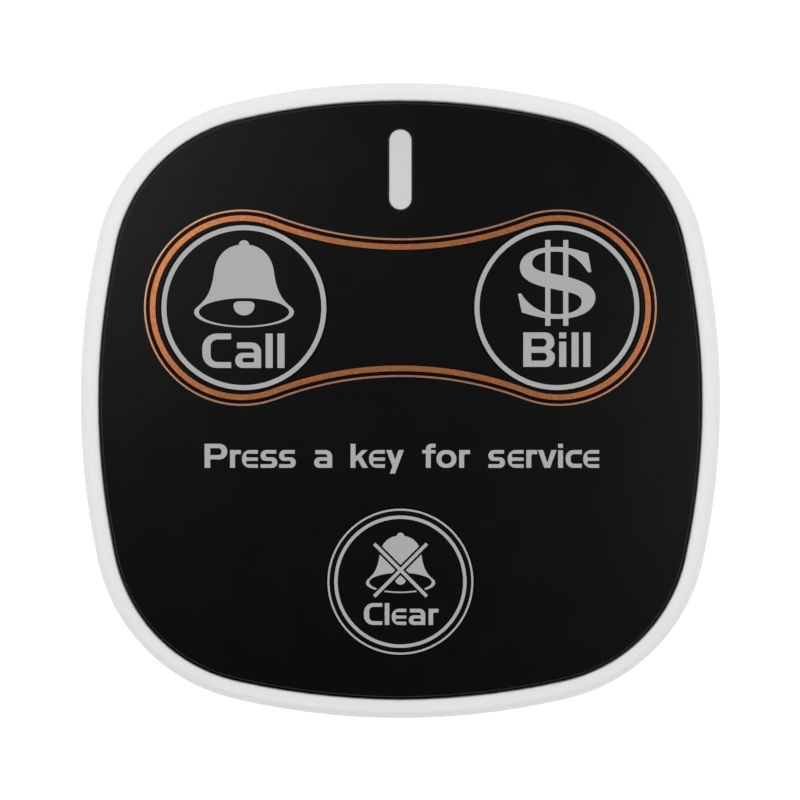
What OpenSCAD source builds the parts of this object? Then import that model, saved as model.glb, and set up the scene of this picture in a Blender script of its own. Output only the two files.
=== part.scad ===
/* [Body] */
// Width of the body across its left and right sides
body_w = 88; // [84:0.5:92]
// Length of the body from its front end to its far end
body_l = 87.4; // [84:0.2:92]
// Height from the surface it rests on to the printed face
body_h = 17; // [16.6:0.1:18]
// Radius of the gently curved left and right sides
side_r = 104; // [98:1:112]
// Radius of the gently curved front and far ends
end_r = 99.3; // [96:0.1:110]
// Radius of the four corners
corner_r = 25; // [22:0.5:28]

/* [Rim and face] */
// Width of the pale rim seen from above
rim_w = 2.55; // [2.2:0.05:3]
// Height of the rounded shoulder of the rim
rim_h = 2.6; // [2:0.1:6]
// How far the black face stands above the rim's inner edge
face_lift = 0.4; // [0.2:0.05:0.6]
// Thickness of the black face panel
panel_t = 1.6; // [1.2:0.1:1.8]
// Gap between the face panel and the rim
panel_gap = 0.25; // [0.15:0.05:0.35]
// Bevel round the top edge of the face panel
panel_bevel = 0.12; // [0.1:0.02:0.3]
// Thickness of the printed lines and symbols
print_t = 0.1; // [0.06:0.02:0.14]

/* [Keys] */
// Distance of the two upper keys from the middle line
key_x = 21.5; // [21:0.1:22]
// Distance of the two upper keys above the centre
key_y = 12.74; // [12:0.02:13.5]
// Distance of the lower key below the centre
clear_y = 24.9; // [24:0.1:25.5]
// Radius of the silver ring on each upper key
ring_r = 11.34; // [11:0.01:11.5]
// Width of the line of the silver ring on each upper key
ring_w = 0.72; // [0.6:0.01:1]
// Radius of the thin outer ring on the lower key
clear_thin_r = 10.03; // [9.8:0.01:10.3]
// Width of the thin outer ring on the lower key
clear_thin_w = 0.29; // [0.25:0.01:0.4]
// Radius of the thick inner ring on the lower key
clear_thick_r = 9.1; // [8.8:0.05:9.3]
// Width of the thick inner ring on the lower key
clear_thick_w = 0.49; // [0.4:0.01:0.7]
// How far a key goes down when it is pressed
key_travel = 0.6; // [0.4:0.05:0.7]
// Gap between a key and its hole in the panel
key_gap = 0.1; // [0.08:0.01:0.2]

/* [Copper band] */
// Radius of the round ends of the thick copper line
band_r = 12.3; // [12.2:0.05:12.4]
// Half the height of the copper band at its waist
band_waist = 8.33; // [8.2:0.01:8.5]
// Width of the thick copper line
band_w = 0.74; // [0.6:0.02:0.8]
// Distance from the thick copper line out to the thin one
band_step = 1.07; // [0.9:0.01:1.2]
// Width of the thin copper line
band_thin_w = 0.28; // [0.2:0.02:0.4]

/* [Indicator] */
// Width of the slot-shaped light window
window_w = 3.15; // [2.8:0.05:3.6]
// Length of the slot-shaped light window
window_l = 11.1; // [10:0.1:12]
// Distance of the light window above the centre
window_y = 31.72; // [31:0.02:31.8]

/* [Battery] */
// Diameter of the coin cell
cell_d = 24.5; // [24:0.1:24.5]
// Thickness of the coin cell
cell_t = 5; // [4.6:0.1:5]
// Angle that the battery cover turns to come free
cover_turn = 35; // [30:1:40]

/* [Hidden] */
$fn = 96;
eps = 0.01;
arc_steps = 8;

// Colours as the object shows them
white_plastic = [0.9, 0.9, 0.89];
black_plastic = [0.1, 0.1, 0.1];
silver_ink = [0.68, 0.68, 0.67];
copper_ink = [0.68, 0.44, 0.31];
metal = [0.78, 0.78, 0.76];
brass = [0.8, 0.66, 0.36];

// Centres of the arcs of the outline, in the first quarter
half_w = body_w / 2;
half_l = body_l / 2;
side_c = [half_w - side_r, 0];
end_c = [0, half_l - end_r];
side_reach = side_r - corner_r;
end_reach = end_r - corner_r;
centres_apart = norm(end_c - side_c);
centres_along = (end_c - side_c) / centres_apart;
foot_along = (side_reach ^ 2 - end_reach ^ 2 + centres_apart ^ 2) / (2 * centres_apart);
foot_height = sqrt(side_reach ^ 2 - foot_along ^ 2);
corner_c = side_c + foot_along * centres_along + foot_height * [-centres_along.y, centres_along.x];
side_half = atan2(corner_c.y - side_c.y, corner_c.x - side_c.x);
end_half = atan2(corner_c.x - end_c.x, corner_c.y - end_c.y);

// Heights, from the surface upwards
foot_t = 1.3;
foot_pocket = 0.5;
cover_z = foot_t - foot_pocket;
cover_t = 2;
cover_top = cover_z + cover_t;
face_z = body_h - print_t;
panel_z = face_z - panel_t;
rim_z = face_z - face_lift;
shoulder_z = rim_z - rim_h;
adhesive_t = 0.15;
ledge_z = panel_z - adhesive_t;
board_z = 9;
board_t = 1.6;
board_top = board_z + board_t;

// Insets from the outline
skirt_z = 1.6;
skirt_in = 1.2;
panel_in = rim_w + panel_gap;
ledge_in = 5.2;
ledge_under = 1.15;
wall_in = 2.3;
cover_in = 2.55;
cover_edge = 0.4;
seat_in = 3.4;
seat_z = 3.6;
lip_out = 3.7;
lip_in = 4.9;
lip_z = 5.4;
board_in = 5.6;

// Screws, bosses and feet
boss_at = [29.6, 29];
boss_r = 3.2;
boss_z = 4.1;
screw_r = 1.45;
bore_r = 1.5;
head_r = 2.7;
head_t = 1.3;
head_z = 1.45;
foot_r = 4.5;
post_at = [25, 24];
post_r = 2.2;
pin_r = 0.9;

// Keys
key_r = ring_r + 0.2;
clear_key_r = clear_thin_r + 0.15;
flange_out = 0.85;
flange_t = 0.85;
flange_top = panel_z - 0.05;
flange_z = flange_top - flange_t;
stem_r = 1.6;
ear_w = 2;
ear_out = 1.6;
collar_gap = 0.25;
collar_w = 1;
collar_t = 1.7;

// Switches
switch_w = 6;
switch_t = 2.5;
actuator_r = 1.7;
actuator_top = 13.8;
actuator_t = 1.6;
actuator_gap = 0.15;
shell_t = 0.2;

// Battery and its cover
cell_z = 3.7;
holder_gap = 0.35;
holder_w = 1.7;
holder_z = 3.9;
hole_r = 14.05;
plug_r = 13.75;
disc_r = 15.35;
recess_r = 15.6;
recess_t = 1;
lug_r = 15.2;
lug_half = 11;
lug_z = 2.95;
lug_top = 3.55;
notch_half = 13;
notch_r = 15.5;
seal_r = 0.5;
seal_z = 2.35;

// Points of one arc, without its last point
function arc(c, r, from, to) =
  [for (k = [0 : arc_steps - 1])
    let (a = from + (to - from) * k / arc_steps)
    c + r * [cos(a), sin(a)]];

// Half of the outline, set in from the body's edge; the other half is the same turned round
function half_outline(inset) = concat(
  arc(side_c, side_r - inset, -side_half, side_half),
  arc(corner_c, corner_r - inset, side_half, 90 - end_half),
  arc(end_c, end_r - inset, 90 - end_half, 90 + end_half),
  arc([-corner_c.x, corner_c.y], corner_r - inset, 90 + end_half, 180 - side_half)
);
function outline(inset) =
  let (half = half_outline(inset))
  concat(half, [for (p = half) -p]);

function at_height(points, z) = [for (p = points) [p.x, p.y, z]];

// Walls between one loop of points and the next, each loop n points long
function walls(n, loops, closed) = [
  for (j = [0 : loops - (closed ? 1 : 2)], i = [0 : n - 1])
    let (a = j * n + i, b = j * n + (i + 1) % n)
    let (d = ((j + 1) % loops) * n + i, c = ((j + 1) % loops) * n + (i + 1) % n)
    each [[a, d, c], [a, c, b]]
];

// A ring that follows the outline; stations go up outside and down inside, as [inset, height]
module outline_ring(stations) {
  n = len(outline(0));
  polyhedron(
    points = [for (s = stations) each at_height(outline(s[0]), s[1])],
    faces = walls(n, len(stations), true)
  );
}

// A solid plate that follows the outline; stations go upwards, as [inset, height]
module outline_plate(stations) {
  n = len(outline(0));
  loops = len(stations);
  polyhedron(
    points = [for (s = stations) each at_height(outline(s[0]), s[1])],
    faces = concat(
      walls(n, loops, false),
      [[for (i = [0 : n - 1]) i]],
      [[for (i = [n - 1 : -1 : 0]) (loops - 1) * n + i]]
    )
  );
}

module at_corners(place) {
  for (sx = [-1, 1], sy = [-1, 1])
    translate([sx * place.x, sy * place.y, 0]) children();
}

module at_call() { translate([-key_x, key_y, 0]) children(); }
module at_bill() { translate([key_x, key_y, 0]) children(); }
module at_clear() { translate([0, -clear_y, 0]) children(); }

module tube(r_out, r_in, z, t) {
  translate([0, 0, z]) difference() {
    cylinder(r = r_out, h = t);
    translate([0, 0, -1]) cylinder(r = r_in, h = t + 2);
  }
}

module sector(r_out, r_in, z, t, mid, half) {
  rotate_extrude(start = mid - half, angle = 2 * half)
    translate([r_in, z]) square([r_out - r_in, t]);
}

module slot_2d(w, l) {
  translate([-w / 2, -(l - w) / 2]) square([w, l - w]);
  for (s = [-1, 1]) translate([0, s * (l - w) / 2]) circle(d = w);
}

module slot_block(w, l, z, t) {
  translate([0, window_y, z]) linear_extrude(height = t) slot_2d(w, l);
}

// Rear cover

module rear_cover() {
  color(white_plastic) difference() {
    union() {
      outline_plate([[cover_in + cover_edge, cover_z], [cover_in, cover_z + cover_edge], [cover_in, cover_top]]);
      outline_ring([[lip_out, cover_top - eps], [lip_out, lip_z], [lip_in, lip_z], [lip_in, cover_top - eps]]);
      at_corners(boss_at) translate([0, 0, cover_top - eps]) cylinder(r = boss_r + 0.8, h = boss_z - cover_top);
      at_corners(post_at) post();
      for (k = [0 : 2]) rotate([0, 0, 120 * k]) turn_stops();
    }
    at_corners(boss_at) screw_seat();
    battery_hole();
  }
}

module post() {
  translate([0, 0, cover_top - eps]) cylinder(r = post_r, h = board_z - cover_top + eps);
  translate([0, 0, board_z - eps]) cylinder(r = pin_r, h = board_t + 0.6);
}

module turn_stops() {
  stop_w = 2;
  sector(lug_r + 0.8, hole_r + 0.2, cover_top - eps, lug_top - cover_top, cover_turn + lug_half + 1 + stop_w, stop_w);
  sector(lug_r + 0.8, hole_r + 0.2, cover_top - eps, lug_top - cover_top, -notch_half - 0.5 - stop_w, stop_w);
}

module screw_seat() {
  translate([0, 0, cover_z - 1]) cylinder(r = foot_r + 0.1, h = foot_pocket + 1);
  translate([0, 0, cover_z]) cylinder(r = head_r + 0.2, h = head_z + head_t - cover_z);
  translate([0, 0, cover_z]) cylinder(r = screw_r + 0.2, h = 5);
  translate([0, 0, boss_z]) cylinder(r = boss_r + 0.15, h = lip_z);
}

module battery_hole() {
  translate([0, 0, cover_z - 1]) cylinder(r = recess_r, h = recess_t + 1);
  translate([0, 0, cover_z]) cylinder(r = hole_r, h = 4);
  for (k = [0 : 2]) sector(notch_r, hole_r - 1, cover_z, 4, 120 * k, notch_half);
}

// Upper housing

// Points of the rim's section: the rounded outer shoulder, the nearly level top and the inner lip
shoulder_steps = 6;
shoulder_w = 1.2;
crown = 0.1;
lip_r = 0.3;
shoulder = concat(
  [for (k = [0 : shoulder_steps])
    let (a = 90 * k / shoulder_steps)
    [shoulder_w * (1 - cos(a)), shoulder_z + (rim_h - crown) * sin(a)]],
  [[rim_w - lip_r, rim_z], [rim_w - 0.3 * lip_r, rim_z - 0.3 * lip_r]]
);

module upper_housing() {
  color(white_plastic) difference() {
    union() {
      outline_ring(concat(
        [[skirt_in, skirt_z], [skirt_in * 0.5, skirt_z + 3], [skirt_in * 0.1, shoulder_z - 2.5]],
        shoulder,
        [[rim_w, rim_z - lip_r], [rim_w, ledge_z], [ledge_in, ledge_z], [ledge_in, ledge_z - ledge_under]],
        [[wall_in, ledge_z - 2.6], [wall_in, seat_z + 1], [seat_in, seat_z + 0.8]],
        [[seat_in, seat_z], [wall_in - 0.1, seat_z], [wall_in - 0.1, skirt_z]]
      ));
      at_corners(boss_at) translate([0, 0, boss_z]) cylinder(r = boss_r, h = ledge_z - ledge_under - boss_z + 0.5);
    }
    at_corners(boss_at) translate([0, 0, boss_z - 1]) cylinder(r = bore_r, h = 7);
  }
}

// Face panel

module face_panel() {
  step_in = rim_w + 0.1;
  step_z = face_z - 0.9;
  color(black_plastic) difference() {
    union() {
      outline_plate([
        [step_in, panel_z], [step_in, step_z], [panel_in, step_z],
        [panel_in, face_z - panel_bevel], [panel_in + panel_bevel, face_z]
      ]);
      at_call() collar(key_r);
      at_bill() collar(key_r);
      at_clear() collar(clear_key_r);
    }
    at_call() key_hole(key_r);
    at_bill() key_hole(key_r);
    at_clear() key_hole(clear_key_r);
    slot_block(window_w, window_l, panel_z - 1, panel_t + 2);
  }
}

// Ring under the panel that guides a key's flange, with a slot for each of its two ears
module collar(r) {
  inner = r + flange_out + collar_gap;
  difference() {
    tube(inner + collar_w, inner, panel_z - collar_t, collar_t + eps);
    translate([-ear_w / 2 - 0.15, -inner - 5, panel_z - collar_t - 1])
      cube([ear_w + 0.3, 2 * inner + 10, collar_t + 1]);
  }
}

module key_hole(r) {
  translate([0, 0, panel_z - 1]) cylinder(r = r + key_gap, h = panel_t + 2);
}

module panel_adhesive() {
  color([0.2, 0.2, 0.2])
    outline_ring([[panel_in + 0.1, ledge_z], [panel_in + 0.1, panel_z], [ledge_in, panel_z], [ledge_in, ledge_z]]);
}

module housing_gasket() {
  color([0.35, 0.35, 0.36])
    outline_ring([[cover_in + 0.05, cover_top], [cover_in + 0.05, seat_z], [seat_in, seat_z], [seat_in, cover_top]]);
}

// Keys

module keycap(r) {
  edge = 0.05;
  rotate_extrude() polygon([
    [0, actuator_top], [stem_r, actuator_top], [stem_r, flange_z], [r + flange_out, flange_z],
    [r + flange_out, flange_top], [r, flange_top], [r, face_z - edge], [r - edge, face_z], [0, face_z]
  ]);
  translate([-ear_w / 2, -r - flange_out - ear_out + 0.4, flange_z])
    cube([ear_w, 2 * (r + flange_out + ear_out - 0.4), flange_t]);
}

module call_keycap() { color(black_plastic) at_call() keycap(key_r); }
module bill_keycap() { color(black_plastic) at_bill() keycap(key_r); }
module clear_keycap() { color(black_plastic) at_clear() keycap(clear_key_r); }

module call_ring() { color(silver_ink) at_call() tube(ring_r, ring_r - ring_w, face_z, print_t); }
module bill_ring() { color(silver_ink) at_bill() tube(ring_r, ring_r - ring_w, face_z, print_t); }
module clear_rings() {
  color(silver_ink) at_clear() {
    tube(clear_thin_r, clear_thin_r - clear_thin_w, face_z, print_t);
    tube(clear_thick_r, clear_thick_r - clear_thick_w, face_z, print_t);
  }
}

// Symbols

// Points of a smooth curve from a to d that leaves towards b and arrives from c, without its last point
function curve(a, b, c, d) = [
  for (k = [0 : 5])
    let (t = k / 6, u = 1 - t)
    u ^ 3 * a + 3 * u ^ 2 * t * b + 3 * u * t ^ 2 * c + t ^ 3 * d
];
function ellipse(rx, ry) = [for (k = [0 : 47]) [rx * cos(7.5 * k), ry * sin(7.5 * k)]];
// The left half of a shape whose right half starts on the middle line
function left_half(points) = [for (k = [len(points) - 1 : -1 : 1]) [-points[k].x, points[k].y]];

// Right side of a bell seen a little from below, from its knob round to its lip,
// whose middle is the origin
function bell_side(lip) = concat(
  curve([0, 9.9], [0.4, 9.9], [0.74, 9.62], [0.7, 9.26]),
  curve([0.7, 9.26], [2.5, 9.08], [3.78, 8.05], [4.1, 5.75]),
  curve([4.1, 5.75], [4.42, 3], [4.95, 1.9], [6.3, 0.85]),
  curve([6.3, 0.85], [6.65, 0.58], [lip.x, 0.32], [lip.x, 0]),
  curve([lip.x, 0], [lip.x, -0.55 * lip.y], [0.55 * lip.x, -lip.y], [0, -lip.y])
);

// A bell of size k, with an oval opening that leaves its lip as a line
module bell_2d(k, lip, opening, lift) {
  side = bell_side(lip);
  difference() {
    polygon(k * concat(side, [[0, -lip.y]], left_half(side)));
    translate([0, k * lift]) polygon(k * ellipse(opening.x, opening.y));
  }
}

module clapper_2d() {
  side = concat(
    curve([0, 1.52], [0.8, 1.52], [1.44, 1.5], [1.44, 0.95]),
    curve([1.44, 0.95], [1.44, 0.2], [0.85, -0.42], [0, -0.42])
  );
  polygon(concat(side, [[0, -0.42]], left_half(side)));
}

// Two bars that cross at right angles, each l long and w wide
module cross_2d(l, w) {
  for (a = [45, -45]) rotate(a) translate([-w / 2, -l / 2]) square([w, l]);
}

// A dollar sign with two bars, centred on the origin
dollar_s = concat(
  [[4.77, 1.57]],
  curve([4.29, 4.09], [2.89, 4.56], [1.52, 4.97], [-0.13, 4.97]),
  curve([-0.13, 4.97], [-2.88, 4.97], [-5.15, 3.8], [-5.15, 2.16]),
  curve([-5.15, 2.16], [-5.15, 0.58], [-3.02, -0.21], [-0.41, -0.84]),
  curve([-0.41, -0.84], [1.65, -1.33], [3.33, -1.48], [3.33, -2.58]),
  curve([3.33, -2.58], [3.33, -3.61], [1.93, -4.2], [0.07, -4.2]),
  curve([0.07, -4.2], [-2.06, -4.2], [-3.84, -2.99], [-4.8, -1.39]),
  [[-4.8, -1.39], [-5.39, -1.44]],
  curve([-4.84, -4], [-3.02, -4.57], [-1.64, -4.89], [0, -4.89]),
  curve([0, -4.89], [3.16, -4.89], [5.27, -3.61], [5.27, -1.9]),
  curve([5.27, -1.9], [5.27, -0.38], [2.75, 0.49], [0, 1.13]),
  curve([0, 1.13], [-1.64, 1.48], [-3.32, 1.54], [-3.32, 2.66]),
  curve([-3.32, 2.66], [-3.32, 3.67], [-1.92, 4.29], [0, 4.29]),
  curve([0, 4.29], [1.93, 4.26], [3.23, 2.84], [4.22, 1.52]),
  [[4.22, 1.52]]
);
module dollar_2d() {
  bar = [0.75, 11.86];
  polygon(dollar_s);
  for (x = [-1.26, 1.22]) translate([x - bar.x / 2, 0.03 - bar.y / 2]) square(bar);
}

module printed() { translate([0, 0, face_z]) linear_extrude(height = print_t) children(); }

module call_symbol() {
  color(silver_ink) at_call() printed() translate([0, -0.6]) {
    bell_2d(1, [6.85, 2.08], [6.17, 1.87], 0.05);
    clapper_2d();
  }
}
module bill_symbol() {
  color(silver_ink) at_bill() printed() translate([0, 3.4]) dollar_2d();
}
module clear_symbol() {
  size = 0.7;
  bar_l = 10.33;
  bar_w = 0.5;
  margin = 0.26;
  cross_at = [0, 1.64];
  color(silver_ink) at_clear() printed() {
    difference() {
      translate([0, -0.15]) {
        bell_2d(size, [6.82, 1.95], [6.14, 1.87], 0.28);
        translate([0, 0.63 * size]) circle(r = 1.13 * size, $fn = 48);
      }
      translate(cross_at) cross_2d(bar_l + 2 * margin, bar_w + 2 * margin);
    }
    translate(cross_at) cross_2d(bar_l, bar_w);
  }
}

// Copper band

// Points of the band's outline, at a distance out from the thick line's middle
band_x = key_x + 0.24;
waist_r = (band_x ^ 2 + band_waist ^ 2 - band_r ^ 2) / (2 * (band_r - band_waist));
waist_c = band_waist + waist_r;
waist_half = atan2(band_x, waist_c);
function band_end(out) = [
  for (k = [0 : 24])
    let (a = (90 + waist_half) * (k / 12 - 1))
    [band_x, 0] + (band_r + out) * [cos(a), sin(a)]
];
function band_top(out) = [
  for (k = [1 : 11])
    let (a = 270 + waist_half * (1 - k / 6))
    [0, waist_c] + (waist_r - out) * [cos(a), sin(a)]
];
function band_outline(out) =
  let (half = concat(band_end(out), band_top(out)))
  concat(half, [for (p = half) -p]);

module band_line(out, w) {
  translate([0, key_y, face_z]) linear_extrude(height = print_t) difference() {
    polygon(band_outline(out + w / 2));
    polygon(band_outline(out - w / 2));
  }
}

module copper_band() {
  color(copper_ink) {
    band_line(0, band_w);
    band_line(band_step, band_thin_w);
  }
}

// Light window and lamp

module light_window() {
  flange = 1;
  color([0.85, 0.84, 0.82]) {
    slot_block(window_w - 0.06, window_l - 0.06, panel_z - eps, panel_t + eps);
    slot_block(window_w + 2 * flange, window_l + 2 * flange - 0.2, panel_z - 0.8, 0.8);
    slot_block(window_w - 0.4, window_l - 4, board_top + 1.3, panel_z - 0.8 - board_top - 1.3 + eps);
  }
}

module indicator_led() {
  color([0.93, 0.92, 0.86]) difference() {
    translate([-1.4, window_y - 1.75, board_top]) cube([2.8, 3.5, 1.1]);
    translate([0, window_y, board_top + 0.7]) cylinder(r = 1.1, h = 1);
  }
}

// Circuit board and what stands on it

module circuit_board() {
  color([0.1, 0.36, 0.2]) difference() {
    outline_plate([[board_in, board_z], [board_in, board_top]]);
    at_corners(boss_at) translate([0, 0, board_z - 1]) cylinder(r = boss_r + 0.4, h = board_t + 2);
    at_corners(post_at) translate([0, 0, board_z - 1]) cylinder(r = pin_r + 0.08, h = board_t + 2);
  }
}

module switch_body() {
  bore_z = actuator_top - actuator_t - key_travel - 0.2;
  difference() {
    translate([-switch_w / 2, -switch_w / 2, board_top]) cube([switch_w, switch_w, switch_t]);
    translate([0, 0, bore_z]) cylinder(r = actuator_r + actuator_gap, h = switch_t);
  }
}

module switch_shell() {
  leg_w = 0.7;
  leg_l = 1.2;
  difference() {
    translate([-switch_w / 2 - shell_t, -switch_w / 2, board_top + 0.6])
      cube([switch_w + 2 * shell_t, switch_w, switch_t - 0.6 + shell_t]);
    translate([-switch_w / 2, -switch_w / 2 - 1, board_top]) cube([switch_w, switch_w + 2, switch_t]);
    translate([0, 0, board_top]) cylinder(r = actuator_r + actuator_gap + 0.1, h = 5);
  }
  for (sx = [-1, 1], sy = [-1, 1])
    translate([sx * 2.25 - leg_w / 2, sy * (switch_w + leg_l) / 2 - leg_l / 2, board_top])
      cube([leg_w, leg_l, shell_t]);
}

module actuator() {
  translate([0, 0, actuator_top - actuator_t]) cylinder(r = actuator_r, h = actuator_t);
}

module call_switch_body() { color([0.13, 0.13, 0.14]) at_call() switch_body(); }
module bill_switch_body() { color([0.13, 0.13, 0.14]) at_bill() switch_body(); }
module clear_switch_body() { color([0.13, 0.13, 0.14]) at_clear() switch_body(); }
module call_switch_shell() { color(metal) at_call() switch_shell(); }
module bill_switch_shell() { color(metal) at_bill() switch_shell(); }
module clear_switch_shell() { color(metal) at_clear() switch_shell(); }
module call_actuator() { color([0.75, 0.2, 0.14]) at_call() actuator(); }
module bill_actuator() { color([0.75, 0.2, 0.14]) at_bill() actuator(); }
module clear_actuator() { color([0.75, 0.2, 0.14]) at_clear() actuator(); }

module controller_chip() {
  body = 7;
  lead_pitch = 0.8;
  color([0.12, 0.12, 0.13]) translate([-body / 2, 20 - body / 2, board_top + 0.1]) cube([body, body, 1.3]);
  color(metal) for (q = [0 : 3], k = [-3 : 3])
    translate([0, 20, 0]) rotate([0, 0, 90 * q])
      translate([body / 2, k * lead_pitch - 0.15, board_top]) cube([1, 0.3, 0.3]);
}

module radio_chip() {
  color([0.12, 0.12, 0.13]) translate([8, -8, board_top]) cube([5, 5, 0.9]);
}

module crystal_can() {
  color(metal) translate([15.5, -7, board_top]) cube([3.2, 2.5, 0.8]);
}

module chip_capacitors() {
  color([0.62, 0.5, 0.36]) {
    for (k = [0 : 3]) translate([8 + 1.8 * k, -10.5, board_top]) cube([0.9, 1.6, 0.8]);
    for (k = [0 : 2]) translate([-7, 16 + 2.4 * k, board_top]) cube([1.6, 0.9, 0.8]);
  }
}

// Spring aerial that lies along the board, as one tube swept along a helix
coil_r = 1.5;
wire_r = 0.3;
coil_turns = 7;
coil_pitch = 1.8;
coil_steps = 12;
wire_sides = 6;
function coil_axis(t) = [16 + coil_pitch * t, coil_r * cos(360 * t), coil_r * sin(360 * t)];
function coil_tangent(t) =
  let (v = [coil_pitch / (2 * PI), -coil_r * sin(360 * t), coil_r * cos(360 * t)])
  v / norm(v);
function coil_out(t) = [0, cos(360 * t), sin(360 * t)];
function coil_ring(t) = [
  for (s = [0 : wire_sides - 1])
    let (a = 360 * s / wire_sides)
    coil_axis(t) + wire_r * (cos(a) * coil_out(t) + sin(a) * cross(coil_tangent(t), coil_out(t)))
];
module antenna_coil() {
  rings = coil_turns * coil_steps + 1;
  points = [for (k = [0 : rings - 1]) each coil_ring(k / coil_steps)];
  n = wire_sides;
  color(brass) translate([0, -19, board_top + coil_r + wire_r + 0.05]) polyhedron(
    points = points,
    faces = concat(
      walls(n, rings, false),
      [[for (i = [0 : n - 1]) i]],
      [[for (i = [n - 1 : -1 : 0]) (rings - 1) * n + i]]
    )
  );
}

// Battery

module battery_holder() {
  inner = cell_d / 2 + holder_gap;
  color([0.16, 0.16, 0.17]) difference() {
    tube(inner + holder_w, inner, holder_z, board_z - holder_z);
    for (s = [-1, 1]) translate([s * inner - 3, -3, holder_z - 1]) cube([6, 6, 2.6]);
  }
}

module positive_contact() {
  inner = cell_d / 2 + 0.02;
  color(metal) sector(inner + 0.28, inner, holder_z + 0.6, board_z - holder_z - 0.6, 90, 35);
}

module negative_contact() {
  color(metal) {
    translate([-6, -1.5, board_z - 0.15]) cube([12, 3, 0.15]);
    translate([0, 0, cell_z + cell_t]) cylinder(r = 1.4, h = board_z - 0.15 - cell_z - cell_t + eps);
  }
}

module coin_cell() {
  edge = 0.4;
  r = cell_d / 2;
  cap_r = r - 1.6;
  color(metal) translate([0, 0, cell_z]) rotate_extrude() polygon([
    [0, 0], [r - edge, 0], [r, edge], [r, cell_t - 0.9], [r - 0.5, cell_t - 0.35],
    [cap_r, cell_t - 0.35], [cap_r, cell_t], [0, cell_t]
  ]);
}

module battery_cover() {
  slot_w = 2;
  slot_l = 14;
  slot_t = 0.9;
  color(white_plastic) difference() {
    union() {
      translate([0, 0, cover_z + 0.05]) cylinder(r = disc_r, h = recess_t - 0.15);
      translate([0, 0, cover_z + recess_t - 0.2]) cylinder(r = plug_r, h = lug_top - cover_z - recess_t + 0.2);
      for (k = [0 : 2])
        sector(lug_r, plug_r - 1, lug_z, lug_top - lug_z, 120 * k + cover_turn, lug_half);
    }
    translate([-slot_l / 2, -slot_w / 2, cover_z - 1]) cube([slot_l, slot_w, slot_t + 1]);
    tube(plug_r + 0.1, plug_r - seal_r - 0.3, seal_z - seal_r, 2 * seal_r);
  }
}

module cover_seal() {
  color([0.2, 0.2, 0.2]) translate([0, 0, seal_z])
    rotate_extrude() translate([plug_r - seal_r + 0.2, 0]) circle(r = seal_r - 0.05, $fn = 24);
}

// Screws and feet

module cover_screws() {
  drive_r = 1.1;
  color(metal) at_corners(boss_at) difference() {
    union() {
      translate([0, 0, head_z]) cylinder(r = head_r, h = head_t);
      translate([0, 0, head_z + head_t - eps]) cylinder(r = screw_r, h = 6);
    }
    for (a = [0, 90]) rotate([0, 0, a])
      translate([-drive_r, -0.3, head_z - 1]) cube([2 * drive_r, 0.6, 1.7]);
  }
}

module rubber_feet() {
  color([0.22, 0.22, 0.23]) at_corners(boss_at) rotate_extrude() polygon([
    [0, 0], [foot_r - 0.4, 0], [foot_r, 0.4], [foot_r, foot_t], [0, foot_t]
  ]);
}

rear_cover();
upper_housing();
face_panel();
panel_adhesive();
housing_gasket();
call_keycap();
bill_keycap();
clear_keycap();
call_ring();
bill_ring();
clear_rings();
call_symbol();
bill_symbol();
clear_symbol();
copper_band();
light_window();
indicator_led();
circuit_board();
call_switch_body();
bill_switch_body();
clear_switch_body();
call_switch_shell();
bill_switch_shell();
clear_switch_shell();
call_actuator();
bill_actuator();
clear_actuator();
battery_holder();
positive_contact();
negative_contact();
coin_cell();
battery_cover();
cover_seal();
controller_chip();
radio_chip();
crystal_can();
antenna_coil();
chip_capacitors();
cover_screws();
rubber_feet();
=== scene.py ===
"""Looks of a tabletop call button: a pale shell, a black face with three round keys,
printed lines and symbols, a copper band and a light window. Sizes are in metres, except in
the flat drawings of symbols and letters, which say their own unit."""
import math

import bmesh
import bpy
from mathutils import Matrix, Vector


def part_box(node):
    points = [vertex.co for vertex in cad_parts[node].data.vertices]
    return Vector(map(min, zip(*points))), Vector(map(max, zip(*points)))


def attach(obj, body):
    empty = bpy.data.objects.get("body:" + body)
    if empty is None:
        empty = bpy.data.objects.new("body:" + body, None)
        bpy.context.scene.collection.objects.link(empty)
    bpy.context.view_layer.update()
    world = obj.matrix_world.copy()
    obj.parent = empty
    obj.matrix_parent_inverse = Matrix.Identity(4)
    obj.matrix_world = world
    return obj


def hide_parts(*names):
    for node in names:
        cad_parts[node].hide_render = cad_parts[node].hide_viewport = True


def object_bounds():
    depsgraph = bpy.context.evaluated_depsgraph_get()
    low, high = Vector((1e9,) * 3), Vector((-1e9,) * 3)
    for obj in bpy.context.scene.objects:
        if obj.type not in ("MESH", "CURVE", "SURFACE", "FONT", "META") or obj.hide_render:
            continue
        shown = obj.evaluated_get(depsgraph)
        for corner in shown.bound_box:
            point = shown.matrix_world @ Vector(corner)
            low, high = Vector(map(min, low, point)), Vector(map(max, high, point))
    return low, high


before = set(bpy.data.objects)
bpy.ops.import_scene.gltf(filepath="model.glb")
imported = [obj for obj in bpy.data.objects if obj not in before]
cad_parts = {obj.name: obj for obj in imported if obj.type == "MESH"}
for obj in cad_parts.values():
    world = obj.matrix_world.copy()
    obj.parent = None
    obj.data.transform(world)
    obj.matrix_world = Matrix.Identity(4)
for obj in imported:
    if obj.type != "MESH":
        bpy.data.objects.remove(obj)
cad_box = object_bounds()

MM = 0.001
EPS = 1e-7  # the tolerance and the overlap where two surfaces meet

# ---------------------------------------------------------------- sizes from the frame

high = Vector(cad_box[1])
half_w, half_l = high.x, high.y


def centre(node):
    """The middle of a node's box."""
    a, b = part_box(node)
    return (a + b) / 2


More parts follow.
